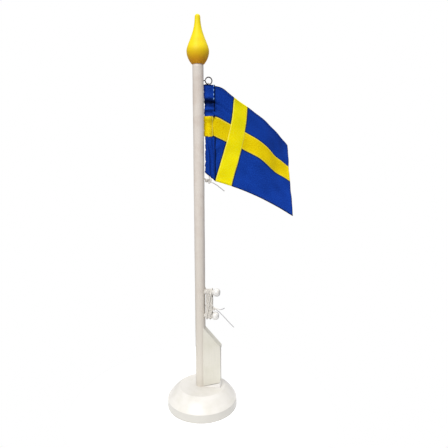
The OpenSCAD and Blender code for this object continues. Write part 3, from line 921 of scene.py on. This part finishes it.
def sleeve_surface(s, t, side, tube=1.0, lift=0.0):
    """Points on the sleeve's front (side 1) or back (side -1) layer, where it bulges round the cord.

    tube closes the layers together at the folded edge. A wrinkle may press neither layer through the
    cord that runs between them.
    """
    clear_of_cord, most_out = 0.9, 2.4
    stand_off = (0.62 + 0.95 * np.exp(-((s - 0.2) / 2.6) ** 2)) * tube + lift
    limit = clear_of_cord + 3 * smoothstep(1.5, 4, s)
    out_by = side * wrinkles(s, t)[0]
    out_by = side * np.clip(out_by, -limit, most_out)
    p = s[:, None] * SLEEVE_ALONG
    p[:, :2] += HOIST
    p[:, 2] = SLEEVE_BOTTOM + (SLEEVE_TOP - SLEEVE_BOTTOM) * t / HOIST_H + corner_rise(s - SLEEVE_EDGE, t)
    return p + (out_by + side * stand_off)[:, None] * SLEEVE_FRONT


def sleeve_loop(name, low, high, out, node, finish, slot, cut_back=0.0):
    """A stretch of the sleeve: cloth folded round the cord. Its front edge is sewn to the flag at
    s = out, and its back edge ends behind the cord at SLEEVE_BACK.

    Each level is a flat loop that runs in from the front edge, round the fold and out at the back.
    cut_back is how steeply the lower end is cut away towards the fold.
    """
    wall = 0.3
    share = np.linspace(-1, 1, 49)
    levels = np.linspace(0, 1, max(6, int((high - low) / 0.7)) + 1)
    rows, places, borders, creases = [], [], [], []
    for level in levels:
        z = low + (high - low) * level
        fold = SLEEVE_FOLD + np.interp(z, *SLEEVE_SLACK)
        fold = fold + 0.16 * math.sin(z * 0.93) + 0.14 * math.sin(z * 1.9 + 1)
        s = fold + (np.where(share < 0, out, SLEEVE_BACK) - fold) * np.abs(share) ** 1.15
        z = z + cut_back * np.maximum(out - s, 0) * (1 - level)
        t = (z - SLEEVE_BOTTOM) / (SLEEVE_TOP - SLEEVE_BOTTOM) * HOIST_H
        tube = np.clip((s - fold) / 0.9, 0, 1) ** 0.5
        rows.append(sleeve_surface(s, t, np.where(share < 0, 1, -1), tube))
        creases.append(crease_depth(s, t))
        places.append(np.column_stack([share * 9, t]))
        borders.append(np.minimum.reduce([np.full(len(s), (high - low) * level),
                                          np.full(len(s), (high - low) * (1 - level)), out - s]))
    grid = np.array(rows)
    inward = np.cross(np.gradient(grid, axis=1), np.gradient(grid, axis=0))
    inward /= np.maximum(np.linalg.norm(inward, axis=2), 1e-9)[:, :, None]
    uv = np.array(places).reshape(-1, 2)
    piece = closed_sheet(name, grid, grid + inward * wall, uv, edge_mm=np.array(borders).ravel(),
                         crease=np.array(creases).ravel())
    dress(piece, finish, "flag", slot, node)


def make_flag():
    end = SLEEVE_EDGE + FLY
    hem = turned_hem(HEM)
    left, right = UPRIGHT
    low, high = ARM
    hoist_part, fly_part = (PANEL_START, left + UNDER), (right - UNDER, end)
    upper, lower = (high - UNDER, HOIST_H), (0, low + UNDER)
    by_hoist, by_fly = [("s", left)], [("s", right), ("s", end)]
    by_top, by_foot = [("t", high), ("t", HOIST_H)], [("t", low), ("t", 0)]
    by_arm = [("t", low), ("t", high)]
    panels = [
        ("field_upper_hoist", hoist_part, upper, "upper_hoist_panel", by_hoist + by_top, BLUE_RIBBON, 0.38),
        ("field_lower_hoist", hoist_part, lower, "lower_hoist_panel", by_hoist + by_foot, BLUE_RIBBON, 0.38),
        ("field_upper_fly", fly_part, upper, "upper_fly_panel", by_fly + by_top, BLUE_RIBBON, 0.38),
        ("field_lower_fly", fly_part, lower, "lower_fly_panel", by_fly + by_foot, BLUE_RIBBON, 0.38),
        ("ribbon_arm_hoist", hoist_part, ARM, "cross_hoist_arm", by_arm, GOLD_RIBBON, 0.75),
        ("ribbon_arm_fly", fly_part, ARM, "cross_fly_arm", by_arm, GOLD_RIBBON, 0.75),
        ("ribbon_upright", UPRIGHT, (0, HOIST_H), "cross_upright", [("s", left), ("s", right)],
         LEMON_RIBBON, 1.15)]
    for name, s_range, t_range, node, borders, finish, thick in panels:
        blue = finish is BLUE_RIBBON
        piece = cloth_panel(name, s_range, t_range, thick, borders, hem=hem, edge=0.35 if blue else 0.6,
                            step=FINE_STEP if s_range is hoist_part else CLOTH_STEP)
        dress(piece, finish, "flag", "blue_cloth" if blue else "yellow_cloth", node)
    sleeve_loop("sleeve_cloth_upper", 283.4, SLEEVE_TOP, 5.6, "sleeve_upper", BLUE_RIBBON, "blue_cloth")
    sleeve_loop("sleeve_cloth_band", 265.7, 284.2, 3.6, "sleeve_band", GOLD_RIBBON, "yellow_cloth")
    sleeve_loop("sleeve_cloth_lower", SLEEVE_BOTTOM + 0.5, 266.4, 6.0, "sleeve_lower", BLUE_RIBBON,
                "blue_cloth", cut_back=CORNER_SLANT)


make_flag()


# ---- stitches ----

def stitch_tree():
    """Geometry Nodes: short rounded stitches, evenly spaced along each line of the input."""
    tree = bpy.data.node_groups.new("sewn_stitches", "GeometryNodeTree")
    face = tree.interface
    face.new_socket("Seams", in_out="INPUT", socket_type="NodeSocketGeometry")
    for name in ("Spacing", "Length", "Thickness"):
        face.new_socket(name, in_out="INPUT", socket_type="NodeSocketFloat")
    face.new_socket("Thread", in_out="INPUT", socket_type="NodeSocketMaterial")
    face.new_socket("Stitches", in_out="OUTPUT", socket_type="NodeSocketGeometry")
    given = add(tree, "NodeGroupInput")
    line = add(tree, "GeometryNodeMeshToCurve", {0: given.outputs["Seams"]})
    even = add(tree, "GeometryNodeResampleCurve",
               {"Curve": line, "Length": given.outputs["Spacing"]}, mode="LENGTH")
    tangent = add(tree, "GeometryNodeInputTangent")
    turn = add(tree, "FunctionNodeAlignRotationToVector", {"Vector": tangent}, axis="Z")
    round_bead = add(tree, "GeometryNodeMeshUVSphere", {"Radius": 0.5, "Segments": 8, "Rings": 5})
    size = add(tree, "ShaderNodeCombineXYZ", {0: given.outputs["Thickness"], 1: given.outputs["Thickness"],
                                              2: given.outputs["Length"]})
    points = add(tree, "GeometryNodeInstanceOnPoints", {
        "Points": even, "Instance": round_bead, "Rotation": turn,
        "Scale": size})
    real = add(tree, "GeometryNodeRealizeInstances", {0: points})
    painted = add(tree, "GeometryNodeSetMaterial", {"Geometry": real,
                                                    "Material": given.outputs["Thread"]})
    smooth = add(tree, "GeometryNodeSetShadeSmooth", {0: painted})
    add(tree, "NodeGroupOutput", {0: smooth})
    return tree


STITCHES = stitch_tree()


def sew(name, lines, thread, spacing, length, thickness):
    """Sews stitches along lines of points, as one mesh that rides on the flag."""
    points, edges = [], []
    for line in lines:
        start = len(points)
        points += [tuple(p) for p in np.asarray(line) * MM]
        edges += [(start + i, start + i + 1) for i in range(len(line) - 1)]
    mesh = bpy.data.meshes.new(name)
    mesh.from_pydata(points, edges, [])
    piece = new_object(name, mesh)
    work = piece.modifiers.new("stitches", "NODES")
    work.node_group = STITCHES
    wanted = {"Spacing": spacing * MM, "Length": length * MM, "Thickness": thickness * MM, "Thread": thread}
    for item in STITCHES.interface.items_tree:
        if item.in_out == "INPUT" and item.name in wanted:
            work[item.identifier] = wanted[item.name]
    apply_modifiers(piece)
    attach(piece, "flag")
    return piece


def seam(s_from, t_from, s_to, t_to, lift, side):
    """A straight line of the flat cut, carried onto one face of the hanging cloth."""
    count = max(2, int(math.hypot(s_to - s_from, t_to - t_from) / 0.8))
    s = np.linspace(s_from, s_to, count + 1)
    t = np.linspace(t_from, t_to, count + 1)
    p, n = flag_surface(s, t)
    return p + n * lift * side


def sleeve_seam(s, t_from, t_to, lift=0.12):
    """An upright line on the front of the sleeve."""
    t = np.linspace(t_from, t_to, max(2, int(abs(t_to - t_from) / 0.8)) + 1)
    return sleeve_surface(np.full(len(t), float(s)), t, 1, lift=lift)


def make_stitches():
    end = SLEEVE_EDGE + FLY
    upright, arms, hems, ochre, dashes = [], [], [], [], []
    for side in (1, -1):
        for s in (UPRIGHT[0] + 0.9, UPRIGHT[1] - 0.9):
            upright.append(seam(s, 0.8, s, HOIST_H - 0.8, 0.55, side))
        for t in (1.4, HOIST_H - 1.4):
            ochre.append(seam(UPRIGHT[0] + 0.6, t, UPRIGHT[1] - 0.6, t, 0.75, side))
        for t in (ARM[0] + 0.9, ARM[1] - 0.9):
            arms.append(seam(6, t, UPRIGHT[0] - 0.6, t, 0.36, side))
            arms.append(seam(UPRIGHT[1] + 0.6, t, end - 0.8, t, 0.36, side))
        for a, b in ((7, UPRIGHT[0] - 0.5), (UPRIGHT[1] + 0.5, end - 2.2)):
            hems.append(seam(a, HOIST_H - 2.2, b, HOIST_H - 2.2, 0.38, side))
            hems.append(seam(a, 2.2, b, 2.2, 0.38, side))
        for a, b in ((2.2, ARM[0] - 0.5), (ARM[1] + 0.5, HOIST_H - 2.2)):
            hems.append(seam(end - 2.2, a, end - 2.2, b, 0.38, side))
    hems.append(sleeve_seam(5.0, 8, ARM[0] - 1))
    hems.append(sleeve_seam(4.4, ARM[1] + 2, 0.8 * HOIST_H))
    ochre.append(sleeve_seam(1.9, ARM[0] + 0.4, ARM[1] - 0.4))
    dashes.append(sleeve_seam(4.4, 0.86 * HOIST_H, HOIST_H - 0.8))
    sew("stitches_upright", upright, YELLOW_THREAD, 2.2, 1.5, 0.28)
    sew("stitches_arms", arms, YELLOW_THREAD, 2.2, 1.5, 0.28)
    sew("stitches_hem_upright", ochre, OCHRE_THREAD, 2.2, 1.6, 0.3)
    sew("stitches_hems", hems, NAVY_THREAD, 2.4, 1.6, 0.3)
    sew("stitches_sleeve", dashes, BLUE_THREAD, 3.4, 2.3, 0.62)


make_stitches()
